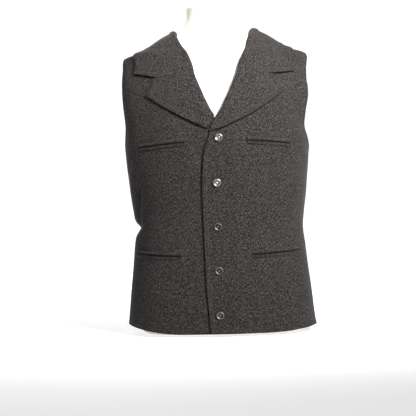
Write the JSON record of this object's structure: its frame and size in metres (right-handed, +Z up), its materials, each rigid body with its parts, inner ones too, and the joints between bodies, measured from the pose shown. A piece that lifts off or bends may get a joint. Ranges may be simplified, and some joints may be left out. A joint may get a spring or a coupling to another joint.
{
  "type": "western vest on a dress form",
  "caption": "Wool western vest with notched lapels, pointed yokes, jetted pockets and a snap front, worn on a limbless dress form.",
  "frame": {"origin": "centre of the dress form's flat foot, on the floor plane", "axes": "+Z up, the front of the vest faces -Y, +X on the viewer's right"},
  "size_m": [0.411, 0.2806, 0.709],
  "materials": {
    "wool": "charcoal heather wool melton, soft nap",
    "form": "smooth cream",
    "snap_metal": "polished nickel cap"
  },
  "bodies": {
    "root": {"dress_form": "form", "back": "wool", "front_left": "wool", "front_right": "wool", "yoke_left": "wool", "yoke_right": "wool", "lapel_left": "wool", "lapel_right": "wool", "collar": "wool", "pocket_chest_left_lower_welt": "wool", "pocket_chest_left_upper_welt": "wool", "pocket_chest_right_lower_welt": "wool", "pocket_chest_right_upper_welt": "wool", "pocket_hip_left_lower_welt": "wool", "pocket_hip_left_upper_welt": "wool", "pocket_hip_right_lower_welt": "wool", "pocket_hip_right_upper_welt": "wool", "snap_1": "snap_metal", "snap_2": "snap_metal", "snap_3": "snap_metal", "snap_4": "snap_metal", "snap_5": "snap_metal"}
  },
  "joints": []
}
